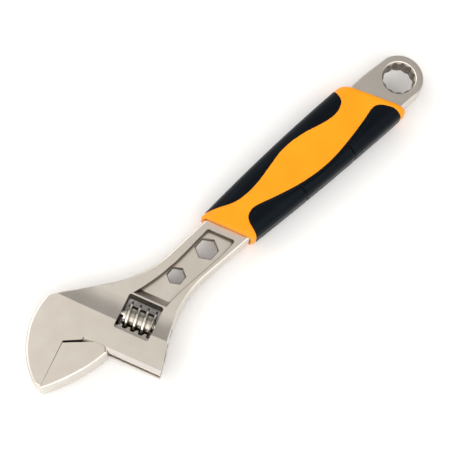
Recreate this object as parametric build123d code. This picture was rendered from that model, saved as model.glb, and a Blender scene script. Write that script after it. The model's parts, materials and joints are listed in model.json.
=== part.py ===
from build123d import *
import os
from math import atan, cos, degrees, pi, radians, sin, sqrt, tan

# Adjustable wrench, 10 inch size, jaws closed.  Millimetres.
# While it is drawn, the handle runs along X with the ring's centre at x = 0, the head is at
# negative x, the fixed jaw is on the +Y side and z = 0 is the middle of the thickness.
# The jaw frame has its origin in the throat: u runs along the jaw faces towards their tips,
# v is the way the movable jaw opens, and z is up.

# ---- head ----
JAW_ANGLE = 23.0            # lean of the jaw faces from the handle's axis, degrees
THROAT_X, THROAT_Y = -217.5, 11.8
HEAD_HALF = 7.0             # half the head's thickness
HANDLE_HALF = 4.9           # half the thickness of shank, tang and ring end
WEB_HALF = 1.8              # half the thickness of the floor between the ribs
RECESS_CORNER = 1.2
EDGE_BEVEL = 1.3
SCOOP_RADIUS = 1200.0       # plan radius of the crease where the head's flat ends
SCOOP_RUN = 12.0            # how far the scoop takes to fall to the shank
CREASE_U, CREASE_V = -19.8, 17.0

# ---- jaws, in the jaw frame ----
JAW_REACH = 25.2            # throat to tip
SLIDE_U = -4.3              # edge that the movable jaw slides on
SLIDE_BEVEL = 1.6
RELIEF_V = 8.2              # where the throat's diagonal meets the slide edge
HEEL_V = 49.2
JAW_END_V = 22.0
JAW_GAP_TIP, JAW_GAP_THROAT = 0.08, 0.3
THROAT_GAP = 0.9
SLIDE_CLEARANCE = 0.12
SLOT_HALF, NECK_HALF = 2.5, 2.4
NECK_START_V, NECK_END_V = 8.9, 20.5

# ---- rack, worm and pin, in the jaw frame ----
RACK_U, RACK_R, BORE_R = -15.8, 5.2, 5.3
RACK_START_V, RACK_END_V, BORE_START_V = 1.0, 38.0, 0.0
WORM_U, WORM_R, WORM_ROOT_R = -25.7, 7.3, 5.3
LEAD = 4.25                 # one turn of the worm moves the jaw this far
THREAD_TIP, THREAD_BASE = 0.9, 1.9
WORM_START_V, WORM_END_V = 21.0, 35.6
CREST_V = 24.0              # where a crest faces the rack
RACK_TIP_U, RACK_ROOT_U = -20.1, -18.1
TOOTH_GAP_TOP, TOOTH_GAP_ROOT = 3.1, 1.9
WINDOW_U0, WINDOW_U1 = -35.2, -16.2
WINDOW_V0, WINDOW_V1 = 19.0, 37.2
WINDOW_CORNER = 1.2
RIM, RAMP = 0.8, 3.6        # the rim left at the window, and the ramp from it down to the web
PIN_R, PIN_THREAD_R, WORM_BORE_R = 1.95, 2.5, 2.05
PIN_START_V, PIN_STEP_V, PIN_END_V = 14.0, 38.0, 43.6
PIN_HOLE_EXTRA = 0.02
PIN_SLOT_DEPTH, PIN_SLOT_HALF = 1.0, 0.4
SPRING_R, SPRING_WIRE_R, SPRING_TURNS = 3.0, 0.35, 3.5
SPRING_POCKET_R, SPRING_POCKET = 3.6, 3.6
SPRING_GAP_IN, SPRING_GAP_OUT = 0.1, 0.02

# ---- shank and ring end ----
HEX_SMALL, HEX_SMALL_X = 8.0, -154.5
HEX_LARGE, HEX_LARGE_X = 10.0, -134.2
HEX_CHAMFER = 0.35
HEX_TURN = 68.0             # turn of both hexagonal holes, degrees
RING_R = 12.9
RING_AF = 15.0              # across flats of the twelve-point ring
RING_MOUTH_R, RING_MOUTH_DEPTH = 9.1, 1.2
RING_MOUTH_RUN = 1.8        # how far the mouth's cone comes in over its depth

# ---- grip ----
GRIP_HALF = 9.0
GRIP_ROUND, GRIP_CORNER = 6.5, 2.5
# reach of the two sides from the axis: head end, middle, ring end
LEFT_HEAD, LEFT_MID, LEFT_RING = 14.0, 17.3, 16.9
RIGHT_HEAD, RIGHT_MID, RIGHT_RING = 13.0, 15.6, 15.5
LEFT_MID_X, RIGHT_MID_X = -72.0, -62.0
SKIN = 1.5                  # thickness of the black inlays
GRIP_HEAD_X, GRIP_HEAD_LEAN = -120.3, 23.0
GRIP_RING_X, GRIP_RING_LEAN = -16.6, 26.0

THROUGH = 60.0              # longer than anything that it cuts

lean = radians(JAW_ANGLE)
JAW = Plane(origin=(THROAT_X, THROAT_Y, 0), x_dir=(-cos(lean), -sin(lean), 0), z_dir=(0, 0, 1))


def from_jaw(u, v):
    """A point of the jaw frame, in the handle's frame."""
    p = JAW.from_local_coords(Vector(u, v, 0))
    return (p.X, p.Y)


def slab(outline, half):
    """The outline extruded evenly to both sides of the middle plane."""
    return extrude(make_face(outline), amount=half, both=True)


def rod(radius, u, v0, v1):
    """A round bar along v."""
    bar = Cylinder(radius, v1 - v0, align=(Align.CENTER, Align.CENTER, Align.MIN))
    return JAW.location * Pos(u, v0, 0) * Rot(-90, 0, 0) * bar


def jaw_box(u0, u1, v0, v1, half):
    block = Box(u1 - u0, v1 - v0, 2 * half)
    return JAW.location * Pos((u0 + u1) / 2, (v0 + v1) / 2, 0) * block


# ---------------------------------------------------------------- body

def body_outline():
    tip = from_jaw(JAW_REACH, 0)
    throat = from_jaw(0, 0)
    relief = from_jaw(SLIDE_U, RELIEF_V)
    heel = from_jaw(SLIDE_U, HEEL_V)
    nose = (-241.5, 5.2)
    crown = (-212.0, 33.5)
    shoulder = (-199.8, 29.8)
    waist = (-181.0, 18.7)
    shank_top = (-150.0, 10.2)
    plate_top = (-14.0, 13.7)
    plate_low = (0.0, -RING_R)
    shank_low = (-146.0, -10.6)
    edges = [
        Polyline(nose, tip, throat, relief, heel),
        Spline([heel, (-184.5, -25.2), (-172.0, -17.4), (-158.0, -12.3), shank_low]),
        Line(shank_low, plate_low),
        ThreePointArc(plate_low, (RING_R, 0), (2.5, sqrt(RING_R**2 - 2.5**2))),
        Line((2.5, sqrt(RING_R**2 - 2.5**2)), plate_top),
        Line(plate_top, shank_top),
        Spline([shank_top, (-165.0, 12.0), waist], tangents=[(-1, 0), (-0.86, 0.51)]),
        Line(waist, shoulder),
        Spline([shoulder, (-205.4, 32.3), crown], tangents=[(-0.86, 0.51), (-1, 0.02)]),
        ThreePointArc(crown, (-230.9, 23.4), nose),
    ]
    return Curve() + edges


def thickness_envelope():
    """Full thickness at the head, falling in a concave scoop to the handle's thickness."""
    drop = HEAD_HALF - HANDLE_HALF
    scoop_r = (SCOOP_RUN**2 + drop**2) / (2 * drop)
    low_r = SCOOP_RADIUS - SCOOP_RUN
    half_turn = SCOOP_RUN / 2
    sag = HANDLE_HALF + scoop_r - sqrt(scoop_r**2 - half_turn**2)
    far = SCOOP_RADIUS + THROUGH
    top = [
        Line((0, 0), (0, HANDLE_HALF)),
        Line((0, HANDLE_HALF), (low_r, HANDLE_HALF)),
        ThreePointArc((low_r, HANDLE_HALF), (low_r + half_turn, sag), (SCOOP_RADIUS, HEAD_HALF)),
        Line((SCOOP_RADIUS, HEAD_HALF), (far, HEAD_HALF)),
        Line((far, HEAD_HALF), (far, 0)),
        Line((far, 0), (0, 0)),
    ]
    upper = revolve(Plane.XZ * make_face(Curve() + top), Axis.Z)
    both = upper + mirror(upper, Plane.XY)
    centre = from_jaw(CREASE_U - SCOOP_RADIUS, CREASE_V)
    return Pos(centre[0], centre[1], 0) * both


def rim_edges(solid):
    """Edges where the broad faces meet the upright walls, away from the sharp-edged throat."""
    found = []
    for wall in solid.faces():
        if not is_upright(wall) or in_throat(wall):
            continue
        for edge in wall.edges():
            if abs(edge.center().Z) > HANDLE_HALF / 2:
                found.append(edge)
    return found


def is_upright(face):
    height = face.bounding_box().size.Z
    return height > 2 * HANDLE_HALF - 0.01 and abs(face.normal_at(face.center()).Z) < 0.02


def in_throat(face):
    middle = JAW.to_local_coords(face.center())
    return SLIDE_U - 0.5 < middle.X < JAW_REACH and -0.5 < middle.Y < HEEL_V - 1


def slide_bevel(sign, spare):
    """A wedge along the slide edge, on the front (+1) or back (-1)."""
    edge_u, top = SLIDE_U + spare, sign * (HEAD_HALF + spare)
    inner = SLIDE_U - SLIDE_BEVEL - spare
    corner = [(inner, top), (edge_u, top), (edge_u, sign * (HEAD_HALF - SLIDE_BEVEL) - sign * spare)]
    section = make_face(Polyline(*corner, close=True))
    upright = Plane(origin=(0, -THROUGH / 2, 0), x_dir=(1, 0, 0), z_dir=(0, -1, 0))
    wedge = extrude(upright * section, amount=-2 * THROUGH)
    return JAW.location * Pos(0, RELIEF_V + THROUGH / 2, 0) * wedge


def recess():
    """The sunken floor between the ribs, on the front, which ramps up to a rim at the window."""
    far_left, far_right = (-127.4, 6.5), (-121.6, -7.2)
    near_left, near_right = (-178.4, 7.6), (-170.8, -9.2)
    outline = Curve() + [
        Line(far_left, far_right),
        Spline([far_right, (-134.0, -8.3), (-152.0, -8.2), near_right]),
        Line(near_right, near_left),
        Spline([near_left, (-168.0, 5.8), (-150.0, 4.9), (-138.0, 5.7), far_left]),
    ]
    floor = make_face(outline)
    corners = [v for v in floor.vertices() if v.X > HEX_LARGE_X]
    floor = fillet(corners, RECESS_CORNER)
    return Pos(0, 0, WEB_HALF) * extrude(floor, amount=HEAD_HALF) - window_rim()


def window():
    middle = ((WINDOW_U0 + WINDOW_U1) / 2, (WINDOW_V0 + WINDOW_V1) / 2)
    face = RectangleRounded(WINDOW_U1 - WINDOW_U0, WINDOW_V1 - WINDOW_V0, WINDOW_CORNER)
    return JAW.location * Pos(*middle, 0) * extrude(face, amount=THROUGH / 2, both=True)


def window_rim():
    """The metal that stays along the window's handle side."""
    rim_u = WINDOW_U0 - RIM
    ramp_u = rim_u - RAMP
    over = HEAD_HALF + WEB_HALF
    slope = (HANDLE_HALF - WEB_HALF) / RAMP
    section = [(ramp_u, WEB_HALF), (ramp_u + (over - WEB_HALF) / slope, over), (WINDOW_U1, over),
               (WINDOW_U1, 0), (ramp_u, 0)]
    face = Plane.XZ * make_face(Polyline(*section, close=True))
    return JAW.location * extrude(face, amount=THROUGH, both=True)


def hex_hole(across_flats, x):
    corner_r = across_flats / sqrt(3)
    hole = extrude(RegularPolygon(corner_r, 6), amount=THROUGH / 2, both=True)
    mouth = extrude(RegularPolygon(corner_r, 6), amount=HEX_CHAMFER, taper=-45)
    mouth = Pos(0, 0, WEB_HALF - HEX_CHAMFER) * mouth
    cut = hole + mouth + mirror(mouth, Plane.XY)
    return Pos(x, 0, 0) * Rot(0, 0, HEX_TURN) * cut


def ring_hole():
    """A twelve-point socket: two hexagons, one turned by 30 degrees, with a round mouth."""
    corner_r = RING_AF / sqrt(3)
    first = RegularPolygon(corner_r, 6)
    star = first + Rot(0, 0, 30) * first
    hole = extrude(star, amount=THROUGH / 2, both=True)
    depth = RING_MOUTH_DEPTH
    inner_r = RING_MOUTH_R - RING_MOUTH_RUN
    cone = Cone(inner_r, RING_MOUTH_R, depth, align=(Align.CENTER, Align.CENTER, Align.MAX))
    mouth = Pos(0, 0, HANDLE_HALF) * cone
    return hole + mouth + mirror(mouth, Plane.XY)


def body_blank():
    """The forging before anything is cut into it."""
    solid = slab(body_outline(), HEAD_HALF + 1) & thickness_envelope()
    return fillet(rim_edges(solid), EDGE_BEVEL)


def make_body():
    solid = body_blank()
    for sign in (1, -1):
        solid -= slide_bevel(sign, 0)
    front = recess()
    solid -= front
    solid -= mirror(front, Plane.XY)
    solid -= window()
    solid -= rod(BORE_R, RACK_U, BORE_START_V, HEEL_V + 10)
    solid -= jaw_box(RACK_U, SLIDE_U + 5, NECK_START_V - 0.3, HEEL_V + 10, SLOT_HALF)
    solid -= rod(PIN_R + PIN_HOLE_EXTRA, WORM_U, PIN_START_V - 0.3, PIN_STEP_V)
    solid -= rod(PIN_THREAD_R + PIN_HOLE_EXTRA, WORM_U, PIN_STEP_V, HEEL_V + 5)
    for across, x in ((HEX_SMALL, HEX_SMALL_X), (HEX_LARGE, HEX_LARGE_X)):
        solid -= hex_hole(across, x)
    solid -= ring_hole()
    return solid


# ---------------------------------------------------------------- movable jaw

def jaw_plate():
    corner_u = THROAT_GAP / cos(atan(-SLIDE_U / RELIEF_V))
    drop = RELIEF_V * (1 - (corner_u + 0.2) / (corner_u - SLIDE_U))
    tip, throat = (JAW_REACH, JAW_GAP_TIP), (corner_u, JAW_GAP_THROAT)
    inner_u = SLIDE_U - SLIDE_BEVEL
    outline = Curve() + [
        Polyline((JAW_REACH - 0.9, 2.3), (JAW_REACH, 1.3), tip, throat, (inner_u, RELIEF_V + drop),
                 (inner_u, JAW_END_V - 1.6), (SLIDE_U + 1.0, JAW_END_V)),
        ThreePointArc((SLIDE_U + 1.0, JAW_END_V), (10.9, 13.9), (JAW_REACH - 0.9, 2.3)),
    ]
    plate = slab(outline, HEAD_HALF)
    outer = [e for e in plate.edges().filter_by(GeomType.CIRCLE)]
    outer += [e for e in plate.edges().filter_by(GeomType.LINE)
              if abs(e.center().Z) > HEAD_HALF - 0.1 and outside_edge(e.center())]
    plate = fillet(outer, EDGE_BEVEL)
    return JAW.location * plate


def outside_edge(point):
    at_tip = point.X > JAW_REACH - 1.2 and point.Y > 1.0
    at_heel = point.X < SLIDE_U + 1.5 and point.Y > JAW_END_V - 1.5
    return at_tip or at_heel


def slide_body():
    """The part of the body that the jaw's back bears on, grown by the sliding clearance."""
    spare = SLIDE_CLEARANCE
    land = jaw_box(SLIDE_U - 4, SLIDE_U + spare, -1, HEEL_V, HEAD_HALF + 1)
    for sign in (1, -1):
        land -= slide_bevel(sign, 0).moved(Location(shift_in_jaw(spare)))
    return land


def shift_in_jaw(amount):
    start, end = from_jaw(0, 0), from_jaw(amount, 0)
    return (end[0] - start[0], end[1] - start[1], 0)


def rack_teeth():
    """Grooves across the rack, leaning with the worm's thread."""
    lead_angle = degrees(atan(LEAD / (2 * pi * (WORM_R + WORM_ROOT_R) / 2)))
    top, bottom = TOOTH_GAP_TOP / 2, TOOTH_GAP_ROOT / 2
    over = RACK_TIP_U - 1
    slope = (top - bottom) / (RACK_ROOT_U - RACK_TIP_U)
    mouth = top + slope
    section = Polyline((over, -mouth), (over, mouth), (RACK_ROOT_U, bottom), (RACK_ROOT_U, -bottom),
                       close=True)
    groove = extrude(make_face(section), amount=HEAD_HALF, both=True)
    cuts = []
    first = CREST_V - LEAD * int((CREST_V - RACK_START_V) / LEAD)
    count = int((RACK_END_V - first) / LEAD) + 1
    for i in range(count):
        cuts.append(JAW.location * Pos(0, first + i * LEAD, 0) * Rot(lead_angle, 0, 0) * groove)
    return cuts


def make_movable_jaw():
    plate = jaw_plate() - slide_body()
    neck = jaw_box(RACK_U, SLIDE_U + 3, NECK_START_V, NECK_END_V, NECK_HALF)
    rack = rod(RACK_R, RACK_U, RACK_START_V, RACK_END_V)
    rack -= jaw_box(RACK_TIP_U - 5, RACK_TIP_U, RACK_START_V - 1, RACK_END_V + 1, HEAD_HALF)
    for groove in rack_teeth():
        rack -= groove
    return plate + neck + rack


# ---------------------------------------------------------------- worm, pin and spring

def make_worm():
    length = WORM_END_V - WORM_START_V
    core = Cylinder(WORM_ROOT_R, length, align=(Align.CENTER, Align.CENTER, Align.MIN))
    turns = length / LEAD + 2
    bury = 0.4
    path = Helix(pitch=LEAD, height=turns * LEAD, radius=WORM_ROOT_R - bury)
    half_base, half_tip = THREAD_BASE / 2, THREAD_TIP / 2
    reach = WORM_R - WORM_ROOT_R + bury
    section = Polyline((0, -half_base), (reach, -half_tip), (reach, half_tip), (0, half_base), close=True)
    frame = Plane(origin=path @ 0, x_dir=(1, 0, 0), z_dir=(0, -1, 0))
    thread = sweep(frame * make_face(section), path=path, is_frenet=True)
    # turn the thread so that a crest faces the rack (local +X) at CREST_V
    start = CREST_V - LEAD * (int((CREST_V - WORM_START_V) / LEAD) + 1) - WORM_START_V
    thread = Pos(0, 0, start) * thread
    envelope = Cylinder(WORM_R + 2, length, align=(Align.CENTER, Align.CENTER, Align.MIN))
    worm = core - Cylinder(WORM_BORE_R, THROUGH)
    worm += thread & envelope
    pocket = Cylinder(SPRING_POCKET_R, SPRING_POCKET, align=(Align.CENTER, Align.CENTER, Align.MAX))
    worm -= Pos(0, 0, length) * pocket
    return worm_place(WORM_START_V) * worm


def worm_place(v):
    """Local Z runs along v and local X points at the rack."""
    stand = Plane(origin=(WORM_U, v, 0), x_dir=(1, 0, 0), z_dir=(0, 1, 0))
    return JAW.location * stand.location


def make_worm_pin():
    pin = rod(PIN_R, WORM_U, PIN_START_V, PIN_STEP_V)
    pin += rod(PIN_THREAD_R, WORM_U, PIN_STEP_V, PIN_END_V)
    side = 2 * PIN_THREAD_R
    floor_v = PIN_END_V - PIN_SLOT_DEPTH
    slot = jaw_box(WORM_U - side, WORM_U + side, floor_v, PIN_END_V + 1, PIN_SLOT_HALF)
    return pin - slot


def make_worm_spring():
    """A short coil between the worm's pocket and the window's wall."""
    start = WORM_END_V - SPRING_POCKET + SPRING_GAP_IN + SPRING_WIRE_R
    end = WINDOW_V1 - SPRING_WIRE_R - SPRING_GAP_OUT
    height = end - start
    path = Helix(pitch=height / SPRING_TURNS, height=height, radius=SPRING_R)
    wire = Plane(origin=path @ 0, z_dir=path % 0) * Circle(SPRING_WIRE_R)
    coil = sweep(wire, path=path, is_frenet=True)
    return worm_place(start) * coil


# ---------------------------------------------------------------- grip

def end_point(x, angle, y):
    """A point on a leaning end line of the grip that crosses the axis at x."""
    return (x - y * tan(radians(angle)), y)


def grip_outline(inset):
    """The grip's plan outline, moved inwards at the sides only."""
    head_left = end_point(GRIP_HEAD_X, GRIP_HEAD_LEAN, LEFT_HEAD - inset)
    head_right = end_point(GRIP_HEAD_X, GRIP_HEAD_LEAN, inset - RIGHT_HEAD)
    ring_left = end_point(GRIP_RING_X, GRIP_RING_LEAN, LEFT_RING - inset)
    ring_right = end_point(GRIP_RING_X, GRIP_RING_LEAN, inset - RIGHT_RING)
    return Curve() + [
        Line(head_right, head_left),
        ThreePointArc(head_left, (LEFT_MID_X, LEFT_MID - inset), ring_left),
        Line(ring_left, ring_right),
        ThreePointArc(ring_right, (RIGHT_MID_X, inset - RIGHT_MID), head_right),
    ]


def grip_form(inset):
    form = slab(grip_outline(inset), GRIP_HALF - inset)
    if inset == 0:
        corners = [e for e in form.edges().filter_by(Axis.Z)]
        form = fillet(corners, GRIP_CORNER)
    sides = [e for e in form.edges() if abs(e.center().Z) > 1 and e.length > 40]
    return fillet(sides, GRIP_ROUND - inset)


def inlay_left():
    start, end = (-122.5, 13.2), (-29.5, 14.8)
    inner = Spline([start, (-112.6, 8.1), (-100.0, 6.1), (-83.2, 8.8), (-70.0, 11.2), (-57.8, 10.0),
                    (-44.0, 7.1), (-35.0, 8.2), end])
    outside = Polyline(end, (-29.5, 30), (-122.5, 30), start)
    return slab(Curve() + [inner, outside], THROUGH / 2)


def inlay_right():
    start, end = (-112.6, -15.0), (-15.8, -17.5)
    inner = Spline([start, (-110.4, -4.1), (-102.6, -1.4), (-79.5, -7.5), (-61.0, -9.4), (-42.1, -7.3),
                    (-23.3, -3.4), (-17.6, -7.6), end])
    outside = Polyline(end, (-15.8, -30), (-112.6, -30), start)
    return slab(Curve() + [inner, outside], THROUGH / 2)


def make_grip():
    form = grip_form(0)
    skin = form - grip_form(SKIN)
    left = skin & inlay_left()
    right = skin & inlay_right()
    sleeve = form - left - right - body_blank()
    return sleeve, left, right


def main():
    sleeve, left, right = make_grip()
    nodes = {
        "body": make_body(),
        "movable_jaw": make_movable_jaw(),
        "worm": make_worm(),
        "worm_pin": make_worm_pin(),
        "worm_spring": make_worm_spring(),
        "grip_sleeve": sleeve,
        "grip_inlay_left": left,
        "grip_inlay_right": right,
    }
    boxes = [solid.bounding_box() for solid in nodes.values()]
    low = [min(getattr(box.min, axis) for box in boxes) for axis in "XYZ"]
    high = [max(getattr(box.max, axis) for box in boxes) for axis in "XYZ"]
    stand = Pos(-(low[0] + high[0]) / 2, -(low[1] + high[1]) / 2, -low[2])
    print("origin moves by", [round(v, 4) for v in stand.position])
    os.makedirs("parts", exist_ok=True)
    for name, solid in nodes.items():
        export_step(stand * solid, f"parts/{name}.step")


main()
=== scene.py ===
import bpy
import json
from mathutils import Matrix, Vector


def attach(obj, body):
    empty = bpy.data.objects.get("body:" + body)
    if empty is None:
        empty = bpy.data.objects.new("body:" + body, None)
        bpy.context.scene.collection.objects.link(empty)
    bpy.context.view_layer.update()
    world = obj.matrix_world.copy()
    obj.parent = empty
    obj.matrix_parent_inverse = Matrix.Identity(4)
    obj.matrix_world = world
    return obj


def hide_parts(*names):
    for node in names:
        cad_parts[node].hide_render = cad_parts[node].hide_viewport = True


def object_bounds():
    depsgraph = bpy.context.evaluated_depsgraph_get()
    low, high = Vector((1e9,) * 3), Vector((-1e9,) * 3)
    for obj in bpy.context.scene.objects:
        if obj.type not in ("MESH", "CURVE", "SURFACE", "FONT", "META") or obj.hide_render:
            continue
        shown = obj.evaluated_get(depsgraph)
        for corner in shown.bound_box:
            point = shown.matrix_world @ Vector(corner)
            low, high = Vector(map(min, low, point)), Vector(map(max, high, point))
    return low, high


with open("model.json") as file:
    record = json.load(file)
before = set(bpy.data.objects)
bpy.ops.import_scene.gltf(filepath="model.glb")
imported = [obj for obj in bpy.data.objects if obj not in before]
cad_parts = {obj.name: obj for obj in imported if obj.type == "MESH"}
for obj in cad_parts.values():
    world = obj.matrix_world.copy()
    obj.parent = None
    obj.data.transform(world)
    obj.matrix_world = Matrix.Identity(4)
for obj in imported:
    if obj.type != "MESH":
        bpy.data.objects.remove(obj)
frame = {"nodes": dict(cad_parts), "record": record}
cad_box = [list(corner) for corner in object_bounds()]

import json
import math

import bmesh
import bpy
import numpy as np
from mathutils import Matrix, Vector

# Lengths below are millimetres in the wrench's own plan: the ring's centre is the origin, the
# handle runs to -X, the fixed jaw is on +Y and z = 0 is the middle of the thickness.
MM = 0.001
LOW, HIGH = Vector(cad_box[0]), Vector(cad_box[1])


def mount_point(name):
    for mount in frame["record"]["mounts"]:
        if mount["name"] == name:
            return Vector(mount["pos_m"])
    raise ValueError(name)


RING = mount_point("ring_socket")
ORIGIN = Vector((RING.x, RING.y, (LOW.z + HIGH.z) / 2))


def placed(x, y, z):
    """A point of the plan, in the frame's metres."""
    return ORIGIN + Vector((x, y, z)) * MM


# ---------------------------------------------------------------- camera, floor and lights

VIEW_AZIMUTH, VIEW_ELEVATION, VIEW_ROLL = 51.18, 72.09, 8.45        # degrees
VIEW_DISTANCE = 773.3
VIEW_SHIFT = (-4.39, 2.36, 0)       # from the middle of the part's box to the point aimed at
LENS, SENSOR = 124.66, 36.0

LIGHT_AIM = (-110, 0, 0)
WARM_WHITE, WARMER_WHITE = (1.0, 0.99, 0.975), (1.0, 0.985, 0.96)
# name, place, width in metres, watts and colour
LIGHTS = (
    ("key_light", (-860, -330, 760), 1.3, 4.0, WARM_WHITE),
    ("near_light", (-60, -700, 820), 1.3, 3.4, WARM_WHITE),
    ("far_light", (-350, 760, 640), 1.1, 3.4, WARMER_WHITE),
)

# The dome's colours by height, as the upward part of a direction from 0 to 1.
HORIZON, BELT, OVERHEAD = (0.46, 0.48, 0.56, 1), (1.24, 1.22, 1.19, 1), (0.85, 0.82, 0.78, 1)
HORIZON_AT, BELT_AT, OVERHEAD_AT = 0.05, 0.5, 0.95
# Past the ring end the dome dims: how far towards +X it starts and ends, and how high it fades in.
LIT_SIDE, DIM_SIDE = (1, 1, 1, 1), (0.33, 0.33, 0.33, 1)
DIM_FROM, DIM_TO = 0.22, 0.40
DIM_LOW, DIM_HIGH = 0.2, 0.5

FLOOR_HALF = 6.0                    # metres
FLOOR_GAP = 0.02
PAPER_DARK, PAPER_LIGHT = (0.945, 0.945, 0.945), (0.965, 0.965, 0.965)


def add_object(name, data):
    made = bpy.data.objects.new(name, data)
    bpy.context.scene.collection.objects.link(made)
    return made


def add_camera():
    """A long lens above the handle, looking down and along it."""
    azimuth, elevation = math.radians(VIEW_AZIMUTH), math.radians(VIEW_ELEVATION)
    roll = math.radians(VIEW_ROLL)
    aim = (LOW + HIGH) / 2 + Vector(VIEW_SHIFT) * MM
    toward = Vector((-math.sin(azimuth) * math.cos(elevation),
                     -math.cos(azimuth) * math.cos(elevation),
                     math.sin(elevation)))
    data = bpy.data.cameras.new("camera")
    data.lens = LENS
    data.sensor_width = SENSOR
    data.clip_start = 0.01
    camera = add_object("camera", data)
    turn = (-toward).to_track_quat("-Z", "Y").to_matrix() @ Matrix.Rotation(roll, 3, "Z")
    camera.matrix_world = Matrix.Translation(aim + toward * (VIEW_DISTANCE * MM)) @ turn.to_4x4()
    bpy.context.scene.camera = camera
    bpy.context.scene.view_settings.view_transform = "Standard"


def soft_box(name, place, aim, size, watts, colour):
    """A round area light, turned to face a point."""
    data = bpy.data.lights.new(name, "AREA")
    data.shape = "DISK"
    data.size = size
    data.energy = watts
    data.color = colour
    light = add_object(name, data)
    light.location = place
    light.rotation_euler = (Vector(aim) - Vector(place)).to_track_quat("-Z", "Y").to_euler()


def add_world():
    """A pale studio dome: cool and dim at the horizon, brightest half-way up and warm overhead.

    Above the horizon it is darker past the ring end.
    """
    world = bpy.data.worlds.new("studio")
    bpy.context.scene.world = world
    world.use_nodes = True
    tree = world.node_tree
    tree.nodes.clear()
    coordinate = tree.nodes.new("ShaderNodeTexCoord")
    split = tree.nodes.new("ShaderNodeSeparateXYZ")
    tree.links.new(coordinate.outputs["Generated"], split.inputs[0])
    height = tree.nodes.new("ShaderNodeValToRGB")
    height.color_ramp.elements[0].position = HORIZON_AT
    height.color_ramp.elements[0].color = HORIZON
    height.color_ramp.elements[1].position = OVERHEAD_AT
    height.color_ramp.elements[1].color = OVERHEAD
    belt = height.color_ramp.elements.new(BELT_AT)
    belt.color = BELT
    tree.links.new(split.outputs["Z"], height.inputs[0])
    side = tree.nodes.new("ShaderNodeValToRGB")
    side.color_ramp.interpolation = "EASE"
    side.color_ramp.elements[0].position = DIM_FROM
    side.color_ramp.elements[0].color = LIT_SIDE
    side.color_ramp.elements[1].position = DIM_TO
    side.color_ramp.elements[1].color = DIM_SIDE
    tree.links.new(split.outputs["X"], side.inputs[0])
    mix = tree.nodes.new("ShaderNodeMix")
    mix.data_type = "RGBA"
    mix.blend_type = "MULTIPLY"
    fade = tree.nodes.new("ShaderNodeMapRange")
    fade.inputs["From Min"].default_value = DIM_LOW
    fade.inputs["From Max"].default_value = DIM_HIGH
    tree.links.new(split.outputs["Z"], fade.inputs["Value"])
    tree.links.new(fade.outputs[0], mix.inputs["Factor"])
    tree.links.new(height.outputs[0], mix.inputs["A"])
    tree.links.new(side.outputs[0], mix.inputs["B"])
    background = tree.nodes.new("ShaderNodeBackground")
    background.inputs["Strength"].default_value = 1.0
    tree.links.new(mix.outputs["Result"], background.inputs["Color"])
    output = tree.nodes.new("ShaderNodeOutputWorld")
    tree.links.new(background.outputs[0], output.inputs["Surface"])


def add_stage():
    """A pale paper floor just under the wrench."""
    corners = [(FLOOR_HALF * x, FLOOR_HALF * y, 0) for x, y in ((-1, -1), (1, -1), (1, 1), (-1, 1))]
    mesh = bpy.data.meshes.new("floor")
    mesh.from_pydata(corners, [], [(0, 1, 2, 3)])
    floor = add_object("floor", mesh)
    floor.location.z = LOW.z - FLOOR_GAP * MM
    paper = Shader("floor_paper")
    paper.shader.inputs["Roughness"].default_value = 0.9
    paper.shader.inputs["Specular IOR Level"].default_value = 0.1
    paper.colour(paper.mottle(40, PAPER_DARK, PAPER_LIGHT))
    mesh.materials.append(paper.material)


# ---------------------------------------------------------------- materials

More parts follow.
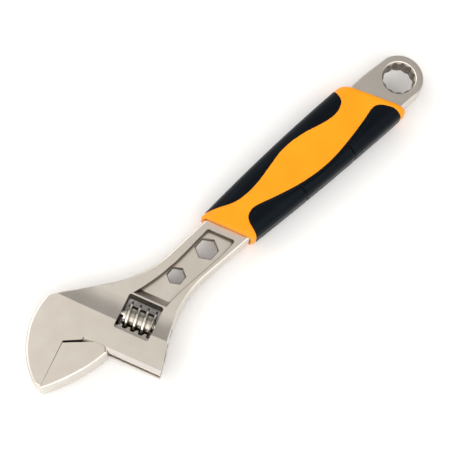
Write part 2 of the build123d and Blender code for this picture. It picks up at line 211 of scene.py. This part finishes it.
class Shader:
    """A Principled material with the few node steps that the finishes share."""

    def __init__(self, name):
        self.material = bpy.data.materials.new(name)
        self.material.use_nodes = True
        self.tree = self.material.node_tree
        self.shader = self.tree.nodes["Principled BSDF"]
        self.place = self.node("ShaderNodeTexCoord").outputs["Object"]

    def node(self, kind):
        return self.tree.nodes.new(kind)

    def link(self, source, target):
        self.tree.links.new(source, target)

    def stretched(self, turn, scale):
        """Object coordinates turned about Z and scaled per axis."""
        mapping = self.node("ShaderNodeMapping")
        mapping.vector_type = "TEXTURE"
        mapping.inputs["Rotation"].default_value = (0, 0, math.radians(turn))
        mapping.inputs["Scale"].default_value = scale
        self.link(self.place, mapping.inputs["Vector"])
        return mapping.outputs[0]

    def noise(self, scale, detail=3.0, vector=None):
        noise = self.node("ShaderNodeTexNoise")
        noise.inputs["Scale"].default_value = scale
        noise.inputs["Detail"].default_value = detail
        self.link(vector or self.place, noise.inputs["Vector"])
        return noise.outputs["Fac"]

    def openness(self, distance):
        """1 on open faces, lower in holes and corners of the same piece."""
        shade = self.node("ShaderNodeAmbientOcclusion")
        shade.only_local = True
        shade.samples = 8
        shade.inputs["Distance"].default_value = distance * MM
        return shade.outputs["AO"]

    def steep(self, start, end):
        """1 on walls that stand upright, 0 on the broad faces."""
        geometry = self.node("ShaderNodeNewGeometry")
        split = self.node("ShaderNodeSeparateXYZ")
        self.link(geometry.outputs["True Normal"], split.inputs[0])
        return self.span(self.math("ABSOLUTE", split.outputs["Z"], 0.0), 1.0, 0.0, start, end)

    def around(self, centre, radius, blur):
        """1 within a radius, in mm, of an upright axis, 0 outside it."""
        away = self.node("ShaderNodeVectorMath")
        away.operation = "SUBTRACT"
        self.link(self.place, away.inputs[0])
        away.inputs[1].default_value = centre
        flat = self.node("ShaderNodeVectorMath")
        flat.operation = "MULTIPLY"
        self.link(away.outputs[0], flat.inputs[0])
        flat.inputs[1].default_value = (1, 1, 0)
        length = self.node("ShaderNodeVectorMath")
        length.operation = "LENGTH"
        self.link(flat.outputs[0], length.inputs[0])
        return self.span(length.outputs["Value"], 1.0, 0.0, (radius - blur) * MM, radius * MM)

    def ramp(self, value, low, high, start=0.3, end=0.7):
        """From the colour low to the colour high as the value goes from start to end."""
        ramp = self.node("ShaderNodeValToRGB")
        ramp.color_ramp.elements[0].position = start
        ramp.color_ramp.elements[0].color = (*low, 1)
        ramp.color_ramp.elements[1].position = end
        ramp.color_ramp.elements[1].color = (*high, 1)
        self.link(value, ramp.inputs[0])
        return ramp.outputs[0]

    def mottle(self, scale, low, high):
        """Clouds of two colours."""
        return self.ramp(self.noise(scale), low, high)

    def span(self, value, low, high, start=0.3, end=0.7):
        """From the number low to the number high as the value goes from start to end."""
        reach = self.node("ShaderNodeMapRange")
        reach.inputs["From Min"].default_value = start
        reach.inputs["From Max"].default_value = end
        reach.inputs["To Min"].default_value = low
        reach.inputs["To Max"].default_value = high
        self.link(value, reach.inputs["Value"])
        return reach.outputs[0]

    def math(self, operation, a, b):
        step = self.node("ShaderNodeMath")
        step.operation = operation
        for socket, value in zip(step.inputs, (a, b)):
            if isinstance(value, (int, float)):
                socket.default_value = value
            else:
                self.link(value, socket)
        return step.outputs[0]

    def blend(self, factor, a, b):
        """Colour a where the factor is 0, and colour b where it is 1."""
        mix = self.node("ShaderNodeMix")
        mix.data_type = "RGBA"
        self.link(factor, mix.inputs["Factor"])
        for name, value in (("A", a), ("B", b)):
            socket = [s for s in mix.inputs if s.name == name and s.type == "RGBA"][0]
            if isinstance(value, tuple):
                socket.default_value = (*value, 1)
            else:
                self.link(value, socket)
        return [s for s in mix.outputs if s.type == "RGBA"][0]

    def colour(self, source):
        self.link(source, self.shader.inputs["Base Color"])

    def roughness(self, source):
        self.link(source, self.shader.inputs["Roughness"])

    def bump(self, height, strength, distance):
        bump = self.node("ShaderNodeBump")
        bump.inputs["Strength"].default_value = strength
        bump.inputs["Distance"].default_value = distance * MM
        self.link(height, bump.inputs["Height"])
        self.link(bump.outputs[0], self.shader.inputs["Normal"])


JAW_LEAN = 23                       # degrees, which the grinding follows
# The reaches below bound where painted shade darkens the worm window and the ring and hex mouths.
WINDOW_CENTRE, WINDOW_REACH = (-182.8, -4.2), 14.5      # where the worm turns, and round its window
RING_REACH = 8.85                   # just past the ring's twelve points
HEX_HOLES = (("hex_hole_8", 5.3), ("hex_hole_10", 6.4))     # just past the corners of each
STREAK = (6, 0.12, 0.12)            # along the grinding and across it

STREAK_TINT = (0.60, 0.565, 0.52)
# Painted shade, partly soil: the dark brown laid into recess walls, hollows, corners, the worm window and
# the ring and hex mouths.
SOIL_AND_SHADE = (0.13, 0.10, 0.07)
# Painted shade, partly oil: the darker tone between the worm's threads.
OIL_AND_SHADE = (0.27, 0.245, 0.19)
PLATE_LIGHT, PLATE_DARK = (0.735, 0.690, 0.630), (0.690, 0.640, 0.575)
WORM_LIGHT, WORM_DARK = (0.80, 0.77, 0.71), (0.74, 0.705, 0.64)


def nickel(name, streak_turn, rough, light, dark, shade_and_soil, groove=0.0):
    """Satin nickel over ground steel: fine streaks, clouding and grain, with painted shade, partly soil,
    darkening the recesses.

    The last two arguments are how much painted shade, partly soil, the hollows take, and how much painted
    shade, partly oil, lies between threads.
    """
    metal = Shader(name)
    metal.shader.inputs["Metallic"].default_value = 1.0
    streaks = metal.noise(1.0, 4.0, metal.stretched(streak_turn, [size * MM for size in STREAK]))
    cloud = metal.noise(120.0)
    grain = metal.noise(3500.0, 2.0)
    tint = metal.ramp(cloud, dark, light)
    tint = metal.blend(metal.span(streaks, 0.0, 0.12), tint, STREAK_TINT)
    # Painted shade, partly soil: masks that darken upright walls in hollows and in the worm window, deep
    # hollows, tight corners and the ring and hex mouths.
    shelter = metal.openness(9.0)
    window = metal.around(placed(*WINDOW_CENTRE, 0), WINDOW_REACH, 0.5)
    enclosed = metal.math("MAXIMUM", metal.span(shelter, 1.0, 0.0, 0.66, 0.94), window)
    walls = metal.math("MULTIPLY", metal.steep(0.35, 0.7), enclosed)
    deep = metal.span(shelter, 0.6, 0.0, 0.25, 0.5)
    corners = metal.span(metal.openness(2.0), 0.95, 0.0, 0.64, 0.88)
    mouth = metal.math("MULTIPLY", metal.around(ORIGIN, RING_REACH, 0.2), metal.steep(0.86, 0.95))
    for mount, reach in HEX_HOLES:
        hole = metal.math("MULTIPLY", metal.around(mount_point(mount), reach, 0.2), metal.steep(0.72, 0.9))
        mouth = metal.math("MAXIMUM", mouth, hole)
    mouth = metal.math("MULTIPLY", mouth, metal.span(metal.noise(700.0), 0.75, 1.0))
    shade_and_dirt = metal.math("MAXIMUM", metal.math("MAXIMUM", walls, deep), metal.math("MAXIMUM", corners, mouth))
    closed = metal.math("MULTIPLY", shade_and_dirt, shade_and_soil)
    # Painted shade, partly oil: darker between the worm's threads, where the occlusion mask is low.
    if groove:
        oil_and_shade_mask = metal.span(metal.openness(2.6), groove, 0.0, 0.62, 0.9)
        tint = metal.blend(oil_and_shade_mask, tint, OIL_AND_SHADE)
    metal.colour(metal.blend(closed, tint, SOIL_AND_SHADE))
    brushed = metal.span(streaks, rough - 0.03, rough + 0.05)
    satin = metal.math("ADD", brushed, metal.span(grain, -0.02, 0.03))
    metal.roughness(metal.math("ADD", satin, metal.math("MULTIPLY", closed, 0.12)))
    relief = metal.math("ADD", metal.math("MULTIPLY", streaks, 0.6), metal.math("MULTIPLY", grain, 0.4))
    metal.bump(relief, 0.25, 0.02)
    return metal


def finish_metals():
    plates = nickel("nickel_satin", 90 + JAW_LEAN, 0.30, PLATE_LIGHT, PLATE_DARK, 0.9)
    for node in ("body", "movable_jaw"):
        dress(frame["nodes"][node], plates.material)
    bright = nickel("worm_bright", JAW_LEAN, 0.2, WORM_LIGHT, WORM_DARK, 0.4, 0.9)
    for node in ("worm", "worm_pin", "worm_spring"):
        dress(frame["nodes"][node], bright.material)


def orange_plastic():
    plastic = Shader("orange_plastic")
    grain = plastic.noise(2600.0, 2.0)
    plastic.colour(plastic.mottle(70, (0.93, 0.315, 0.007), (0.98, 0.345, 0.009)))
    plastic.roughness(plastic.span(grain, 0.38, 0.48))
    plastic.shader.inputs["Specular IOR Level"].default_value = 0.2
    plastic.bump(grain, 0.15, 0.03)
    return plastic.material


def black_rubber():
    rubber = Shader("black_rubber")
    grain = rubber.noise(1800.0, 3.0)
    rubber.colour(rubber.mottle(90, (0.0014, 0.0024, 0.0042), (0.0028, 0.0042, 0.0066)))
    rubber.roughness(rubber.span(grain, 0.32, 0.44))
    rubber.shader.inputs["Specular IOR Level"].default_value = 0.11
    rubber.shader.inputs["Specular Tint"].default_value = (0.72, 0.90, 1.0, 1)
    rubber.bump(grain, 0.2, 0.04)
    return rubber.material


def dress(piece, material):
    piece.data.materials.clear()
    piece.data.materials.append(material)


# ---------------------------------------------------------------- grip

GRIP_HALF = 9.0             # half its thickness
CORNER = 6.5                # radius that rounds its sides
UPRIGHT = GRIP_HALF - CORNER
QUARTER = math.pi / 2 * CORNER
CROWN = 0.05                # share of the thickness lost towards the sides
HEAD_END, HEAD_LEAN = -120.3, 23.0
RING_END, RING_LEAN = -16.6, 26.0
# Half width where it is widest, what it loses towards the head, where it is widest, and over what run.
LEFT_SWELL = (17.3, 3.6, 35.0, 89.0)
RIGHT_SWELL = (15.8, 2.9, 18.0, 97.0)
# The steel inside: half width, what it loses towards the head, where from, and over what run.
TANG_LEFT = (13.7, 3.5, 14, 136)
TANG_RIGHT = (12.9, 2.3, 0, 146)
CREASE = 35.0               # degrees, from which an edge stays sharp


def half_width(x, side):
    """Half the grip's width at x, on the fixed jaw's side (+1) or the other (-1)."""
    widest, loss, middle, run = LEFT_SWELL if side > 0 else RIGHT_SWELL
    return widest - loss * ((-x - middle) / run) ** 2


def skin_point(x, s, side, inset=0.0):
    """A point of the grip's surface, a length s round from its side line, with s < 0 on the back."""
    width, along = half_width(x, side), abs(s)
    if along < UPRIGHT:
        y, z, ny, nz = width, along, 1.0, 0.0
    elif along < UPRIGHT + QUARTER:
        angle = (along - UPRIGHT) / CORNER
        ny, nz = math.cos(angle), math.sin(angle)
        y, z = width - CORNER + CORNER * ny, UPRIGHT + CORNER * nz
    else:
        y, z, ny, nz = width - CORNER - (along - UPRIGHT - QUARTER), GRIP_HALF, 0.0, 1.0
    z -= CROWN * z * (y / width) ** 2
    y, z = y - inset * ny, z - inset * nz
    return x, side * y, math.copysign(z, s)


def skin_length(x, y, side):
    """How far round from the side line the surface passes over plan width y."""
    width = half_width(x, side)
    if y > width - CORNER:
        return UPRIGHT + CORNER * math.acos(min(1.0, (y - width + CORNER) / CORNER))
    return UPRIGHT + QUARTER + width - CORNER - y


def smooth_curve(points, steps):
    """A Catmull-Rom curve through the points."""
    ends = [points[0]] + list(points) + [points[-1]]
    curve = []
    for a, b, c, d in zip(ends, ends[1:], ends[2:], ends[3:]):
        for k in range(steps):
            t = k / steps
            weights = (-t + 2 * t**2 - t**3, 2 - 5 * t**2 + 3 * t**3,
                       t + 4 * t**2 - 3 * t**3, -t**2 + t**3)
            near = list(zip(weights, (a, b, c, d)))
            curve.append(tuple(sum(w * p[i] for w, p in near) / 2 for i in (0, 1)))
    curve.append(tuple(points[-1]))
    return curve


def evenly(curve, spacing):
    """The curve again, with points an even distance apart."""
    reach = [0.0]
    for a, b in zip(curve, curve[1:]):
        reach.append(reach[-1] + math.dist(a, b))
    count = int(reach[-1] / spacing)
    points, k = [], 0
    for i in range(count + 1):
        goal = reach[-1] * i / count
        while k < len(curve) - 2 and reach[k + 1] < goal:
            k += 1
        t = (goal - reach[k]) / max(reach[k + 1] - reach[k], 1e-9)
        points.append([a + (b - a) * t for a, b in zip(curve[k], curve[k + 1])])
    return points


def inlay_edge(side, start, plan, end):
    """The inlay's outline over the surface: (x, length round from the side line)."""
    points = [(start, 0.0)]
    for x, y in plan:
        points.append((x, skin_length(x, y, side)))
    points.append((end, 0.0))
    edge = evenly(smooth_curve(points, 30), 0.28)
    for before, after in zip(edge, edge[1:]):
        after[0] = max(after[0], before[0] + 0.008)
    edge[0][1] = edge[-1][1] = 0.0
    return edge


def dip(distance, centre, half, depth):
    """A smooth groove's depth at a distance from a line."""
    off = abs(distance - centre) / half
    return depth * (0.5 + 0.5 * math.cos(math.pi * off)) if off < 1 else 0.0


def inlay_mesh(name, side, edge, relief):
    """A moulded inlay over the sleeve: rounded rim, and relief(x, s, rim distance) carved into its face."""
    rim_steps = (0.0, 0.06, 0.16, 0.30, 0.5, 0.75, 1.0, 1.25, 1.5, 1.75)
    across, under, rim, skirt = 44, 6, 0.35, 1.1
    outline = np.array(edge + [[x, -s] for x, s in edge[1:-1]])

    def rim_distance(x, s):
        return float(np.sqrt(((outline - (x, s)) ** 2).sum(1).min()))

    def face_point(x, s):
        distance = rim_distance(x, s)
        sunk = rim - math.sqrt(rim**2 - (rim - distance) ** 2) if distance < rim else 0.0
        return skin_point(x, s, side, sunk + relief(x, s, distance))

    points, faces = [], []

    def add(point):
        points.append(placed(*point))
        return len(points) - 1

    def row(x, reach):
        squeeze = min(1.0, reach / 4.0)
        rims = [step * squeeze for step in rim_steps]
        inner = reach - rims[-1]
        half = [reach - step for step in rims]
        half += [inner * (1 - k / across * 2) for k in range(1, across // 2)]
        places = half + [0.0] + [-s for s in reversed(half)]
        return [add(face_point(x, s)) for s in places]

    def sole(x, reach):
        places = [reach * (1 - 2 * k / under) for k in range(under + 1)]
        return [add(skin_point(x, s, side, skirt)) for s in places]

    tip_x, tail_x = edge[0][0], edge[-1][0]
    rows = [row(x, s) for x, s in edge[1:-1]]
    soles = [sole(x, s) for x, s in edge[1:-1]]
    tip, tail = add(face_point(tip_x, 0.0)), add(face_point(tail_x, 0.0))
    tip_sole = add(skin_point(tip_x, 0.0, side, skirt))
    tail_sole = add(skin_point(tail_x, 0.0, side, skirt))
    for a, b in zip(rows, rows[1:]):
        faces += [(a[k], a[k + 1], b[k + 1], b[k]) for k in range(len(a) - 1)]
    for a, b in zip(soles, soles[1:]):
        faces += [(a[k + 1], a[k], b[k], b[k + 1]) for k in range(under)]
    for upper, lower in ((0, 0), (-1, -1)):
        for (a, c), (b, d) in zip(zip(rows, soles), zip(rows[1:], soles[1:])):
            wall = (a[upper], b[upper], d[lower], c[lower])
            faces.append(wall if upper == 0 else wall[::-1])
    for line, sole_line, point, sole_point, flip in ((rows[0], soles[0], tip, tip_sole, False),
                                                     (rows[-1], soles[-1], tail, tail_sole, True)):
        fan = [(point, line[k + 1], line[k]) for k in range(len(line) - 1)]
        fan += [(sole_point, sole_line[k], sole_line[k + 1]) for k in range(under)]
        fan += [(point, line[0], sole_line[0], sole_point), (point, sole_point, sole_line[-1], line[-1])]
        faces += [f[::-1] for f in fan] if flip else fan
    return solid_piece(name, points, faces)


def solid_piece(name, points, faces):
    """A closed mesh with its faces turned outwards, smooth but for its sharp edges."""
    mesh = bpy.data.meshes.new(name)
    mesh.from_pydata([tuple(p) for p in points], [], faces)
    form = bmesh.new()
    form.from_mesh(mesh)
    bmesh.ops.recalc_face_normals(form, faces=form.faces)
    form.to_mesh(mesh)
    form.free()
    mesh.shade_smooth()
    mesh.set_sharp_from_angle(angle=math.radians(CREASE))
    return add_object(name, mesh)


def left_inlay_edge():
    plan = [(-122.0, 13.0), (-119.6, 11.7), (-112.6, 8.1), (-106.7, 6.4), (-100.1, 6.1), (-93.0, 6.8),
            (-83.2, 8.9), (-74.4, 10.8), (-66.7, 11.1), (-57.8, 10.0), (-47.0, 7.4), (-40.0, 6.7),
            (-34.9, 8.1), (-31.6, 11.5)]
    return inlay_edge(1, -123.3, plan, -29.4)


def smooth_face(x, s, rim):
    """No groove anywhere."""
    return 0.0


POCKET = 0.8
CROSS_GROOVES = (-79.0, -46.2)


def right_relief(x, s, rim):
    """A fine groove just inside the inner edge, and two grooves across the side."""
    groove = 0.0
    if -107.0 < x < -30.0:
        groove = dip(rim, 1.4, 0.6, 0.55)
    for place in CROSS_GROOVES:
        if rim > 1.3:
            groove = max(groove, dip(x, place, 0.7, 0.7))
    return groove


def right_inlay_edge():
    plan = [(-111.7, 9.0), (-110.3, 4.3), (-107.4, 1.9), (-102.6, 1.5), (-92.1, 4.5), (-79.5, 7.6),
            (-67.6, 9.2), (-55.7, 9.2), (-42.1, 7.3), (-31.0, 5.1), (-23.5, 3.4), (-19.6, 4.4),
            (-16.6, 8.0), (-14.7, 12.2)]
    return inlay_edge(-1, -112.7, plan, -13.9)


def pocket(x, s, edge):
    """How deep the sleeve sinks under an inlay with this outline."""
    if not edge[0][0] < x < edge[-1][0]:
        return 0.0
    reach = np.interp(x, [p[0] for p in edge], [p[1] for p in edge])
    if s > reach:
        return 0.0
    rim = min(math.dist((x, s), p) for p in edge)
    return min(1.0, max(0.0, rim - 0.15)) * POCKET


def tang_width(x, side):
    """Half the width of the steel that the grip is moulded round."""
    width, loss, start, run = TANG_LEFT if side > 0 else TANG_RIGHT
    return width + loss * (x + start) / run


def grip_sleeve(inlays):
    """The orange sleeve: rounded lips, a pocket under each inlay, end faces and a bore round the steel."""
    upright_steps, round_steps, flat_steps, sunk = 3, 14, 14, 0.15
    steel_half, steel_corner, snug, crevice = 4.9, 1.3, 0.12, 0.5
    head_lip, ring_lip, lip_steps = 1.1, 2.6, 7
    quarter = [k / upright_steps for k in range(upright_steps)]
    quarter += [1 + k / round_steps for k in range(round_steps)]
    quarter += [2 + k / flat_steps for k in range(flat_steps + 1)]
    loop = [(1, q, 1) for q in quarter[:-1]] + [(-1, q, 1) for q in reversed(quarter)]
    loop += [(-1, q, -1) for q in quarter[1:-1]] + [(1, q, -1) for q in reversed(quarter)][:-1]

    def lean(u):
        share = (u - HEAD_END) / (RING_END - HEAD_END)
        return math.tan(math.radians(HEAD_LEAN + (RING_LEAN - HEAD_LEAN) * share))

    def outer(u, side, q, up, inset):
        x = u
        for _ in range(4):
            width = half_width(x, side)
            if q < 1:
                s = UPRIGHT * q
            elif q < 2:
                s = UPRIGHT + QUARTER * (q - 1)
            else:
                s = UPRIGHT + QUARTER + (width - CORNER) * (q - 2)
            _, y, z = skin_point(x, s, side, inset)
            x = u - y * lean(u)
        _, y, z = skin_point(x, s, side, inset + pocket(x, s, inlays[side]))
        return x, y, up * z

    def bore(u, side, q, up, gap):
        x, corner = u, steel_corner
        for _ in range(4):
            width, half = tang_width(x, side) + gap, steel_half + gap
            if q < 1:
                y, z = width, (half - corner) * q
            elif q < 2:
                angle = math.pi / 2 * (q - 1)
                y, z = width - corner * (1 - math.cos(angle)), half - corner * (1 - math.sin(angle))
            else:
                y, z = (width - corner) * (3 - q), half
            y *= side
            x = u - y * lean(u)
        return x, y, up * z

    rings = []
    for k in range(lip_steps):
        angle = math.pi / 2 * (1 - k / lip_steps)
        rings.append((HEAD_END + head_lip * (1 - math.sin(angle)), head_lip * (1 - math.cos(angle))))
    start, stop, count = HEAD_END + head_lip, RING_END - ring_lip, 96
    rings += [(start + (stop - start) * k / count, 0.0) for k in range(count)]
    for k in range(lip_steps + 1):
        angle = math.pi / 2 * k / lip_steps
        rings.append((stop + ring_lip * math.sin(angle), ring_lip * (1 - math.cos(angle))))
    points, loops = [], []
    for u, inset in rings:
        loops.append(range(len(points), len(points) + len(loop)))
        points += [placed(*outer(u, side, q, up, inset + sunk)) for side, q, up in loop]
    inner_count = 12
    for k in range(inner_count + 1):
        u = RING_END + (HEAD_END - RING_END) * k / inner_count
        loops.append(range(len(points), len(points) + len(loop)))
        gap = crevice if k in (0, inner_count) else snug
        points += [placed(*bore(u, side, q, up, gap)) for side, q, up in loop]
    faces = []
    for a, b in zip(loops, loops[1:] + loops[:1]):
        for k in range(len(loop)):
            n = (k + 1) % len(loop)
            faces.append((a[k], a[n], b[n], b[k]))
    return solid_piece("sleeve", points, faces)


def finish_grip():
    rubber = black_rubber()
    edges = {1: left_inlay_edge(), -1: right_inlay_edge()}
    inlays = ((1, "inlay_left", "grip_inlay_left", smooth_face),
              (-1, "inlay_right", "grip_inlay_right", right_relief))
    for side, name, node, relief in inlays:
        piece = inlay_mesh(name, side, edges[side], relief)
        dress(piece, rubber)
        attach(piece, "wrench_body")
        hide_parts(node)
    sleeve = grip_sleeve(edges)
    dress(sleeve, orange_plastic())
    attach(sleeve, "wrench_body")
    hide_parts("grip_sleeve")


add_camera()
add_world()
add_stage()
for name, place, width, watts, colour in LIGHTS:
    soft_box(name, placed(*place), placed(*LIGHT_AIM), width, watts, colour)
finish_metals()
finish_grip()
